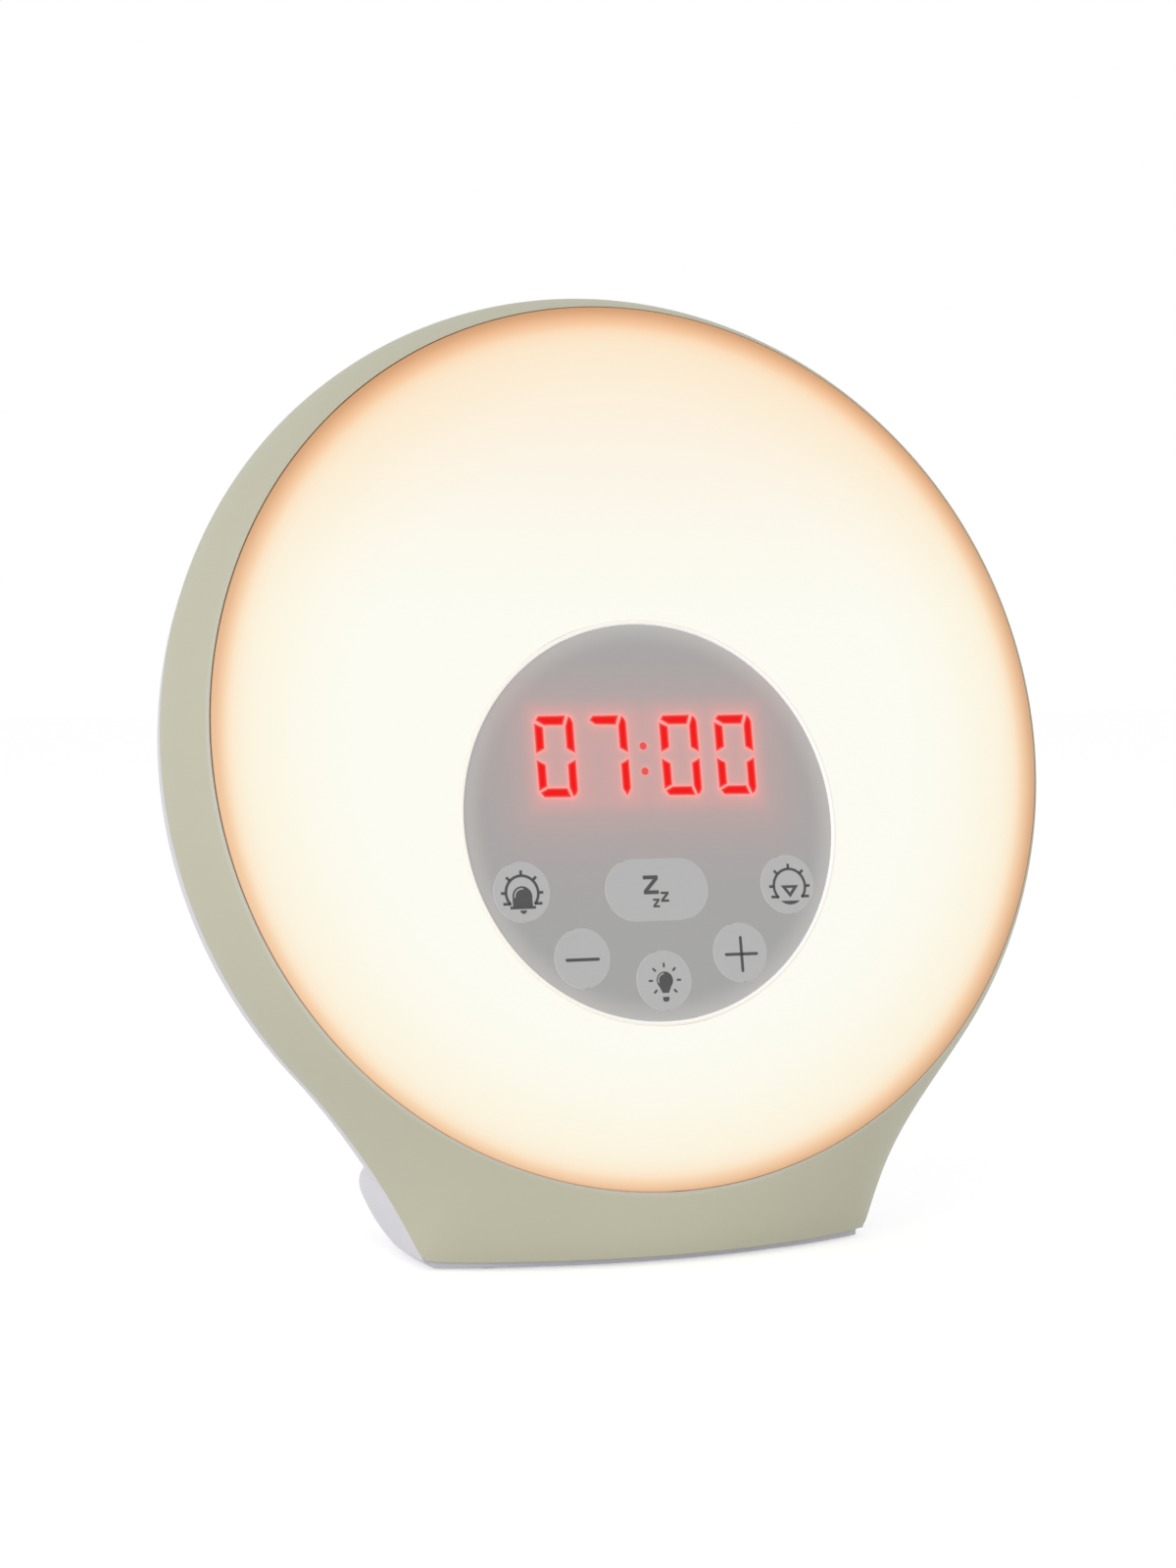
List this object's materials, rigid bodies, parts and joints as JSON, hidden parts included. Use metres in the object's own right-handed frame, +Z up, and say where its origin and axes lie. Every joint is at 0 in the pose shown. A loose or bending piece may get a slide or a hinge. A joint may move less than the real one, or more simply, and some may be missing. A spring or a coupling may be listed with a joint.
{
  "type": "sunrise alarm clock",
  "caption": "Round wake-up light with a lit opal face leaning back on a splayed base, and a round control panel with a digital clock and push keys.",
  "frame": {"origin": "on the table under the middle of the body's outline", "axes": "+Z up, the lit face looks towards -Y, +X to the right of someone who looks at the face"},
  "size_m": [0.1742, 0.0658, 0.1773],
  "materials": {
    "sage_housing": "fine matt moulded ABS",
    "white_shell": "fine matt moulded ABS",
    "white_base": "fine matt moulded ABS",
    "foot_rubber": "matt",
    "opal_diffuser": "opal polycarbonate, lit from behind",
    "reflector_white": "bright white moulding",
    "trim_white": "semi-gloss white moulding",
    "panel_grey": "translucent grey polycarbonate",
    "key_grey": "translucent grey moulding with printed sign",
    "black_moulding": "matt",
    "circuit_board": "solder resist over glass epoxy",
    "display_grey": "matt display case",
    "segment_red": "red light pipe, lit",
    "segment_dark": "light pipe, unlit",
    "colon_red": "red light pipe, dimmer",
    "tinned_metal": "tinned",
    "ring_board_white": "white solder resist on aluminium",
    "lamp_phosphor": "phosphor in a white package",
    "capacitor_sleeve": "printed sleeve, plain",
    "connector_nylon": "natural nylon",
    "frame_steel": "zinc plated",
    "magnet_ferrite": "ferrite",
    "cone_paper": "coated paper",
    "coil_copper": "enamelled copper",
    "ribbon_grey": "flat ribbon",
    "wire_red": "insulated wire",
    "wire_black": "insulated wire",
    "screw_steel": "zinc plated"
  },
  "bodies": {
    "lamp": {"front_housing": "sage_housing", "rear_cover": "white_shell", "rear_foot": "white_shell", "base_plate": "white_base", "foot_pads": "foot_rubber", "diffuser": "opal_diffuser", "reflector": "reflector_white", "trim_ring": "trim_white", "control_panel": "panel_grey", "panel_housing": "reflector_white", "switch_bodies": "black_moulding", "control_board": "circuit_board", "display_case": "display_grey", "lit_segments": "segment_red", "dark_segments": "segment_dark", "colon_dots": "colon_red", "display_pins": "tinned_metal", "ring_board": "ring_board_white", "lamps": "lamp_phosphor", "main_board": "circuit_board", "chips": "black_moulding", "capacitors": "capacitor_sleeve", "connectors": "connector_nylon", "inlet_socket": "black_moulding", "inlet_pin": "tinned_metal", "speaker_frame": "frame_steel", "speaker_magnet": "magnet_ferrite", "speaker_gasket": "foot_rubber", "ribbon_cable": "ribbon_grey", "lamp_wires": "wire_red", "speaker_wires": "wire_black", "cover_screws": "screw_steel", "base_screws": "screw_steel", "panel_housing_screws": "screw_steel", "control_board_screws": "screw_steel", "ring_board_screws": "screw_steel", "main_board_screws": "screw_steel", "speaker_screws": "screw_steel"},
    "key_alarm": {"key_alarm": "key_grey", "plunger_alarm": "black_moulding"},
    "key_sunset": {"key_sunset": "key_grey", "plunger_sunset": "black_moulding"},
    "key_snooze": {"key_snooze": "key_grey", "plunger_snooze": "black_moulding"},
    "key_minus": {"key_minus": "key_grey", "plunger_minus": "black_moulding"},
    "key_light": {"key_light": "key_grey", "plunger_light": "black_moulding"},
    "key_plus": {"key_plus": "key_grey", "plunger_plus": "black_moulding"},
    "cone": {"speaker_cone": "cone_paper", "voice_coil": "coil_copper"}
  },
  "joints": [
    {"name": "press_alarm", "type": "slide", "parent": "lamp", "child": "key_alarm", "axis": [0, 0.9816, -0.1908], "range_m": [0, 0.0004], "stiffness_N_per_m": 2000, "springref_m": -0.0002},
    {"name": "press_sunset", "type": "slide", "parent": "lamp", "child": "key_sunset", "axis": [0, 0.9816, -0.1908], "range_m": [0, 0.0004], "stiffness_N_per_m": 2000, "springref_m": -0.0002},
    {"name": "press_snooze", "type": "slide", "parent": "lamp", "child": "key_snooze", "axis": [0, 0.9816, -0.1908], "range_m": [0, 0.0004], "stiffness_N_per_m": 2000, "springref_m": -0.0002},
    {"name": "press_minus", "type": "slide", "parent": "lamp", "child": "key_minus", "axis": [0, 0.9816, -0.1908], "range_m": [0, 0.0004], "stiffness_N_per_m": 2000, "springref_m": -0.0002},
    {"name": "press_light", "type": "slide", "parent": "lamp", "child": "key_light", "axis": [0, 0.9816, -0.1908], "range_m": [0, 0.0004], "stiffness_N_per_m": 2000, "springref_m": -0.0002},
    {"name": "press_plus", "type": "slide", "parent": "lamp", "child": "key_plus", "axis": [0, 0.9816, -0.1908], "range_m": [0, 0.0004], "stiffness_N_per_m": 2000, "springref_m": -0.0002},
    {"name": "cone_stroke", "type": "slide", "parent": "lamp", "child": "cone", "axis": [0, 0.9816, -0.1908], "range_m": [-0.0004, 0.0004], "stiffness_N_per_m": 1200}
  ]
}
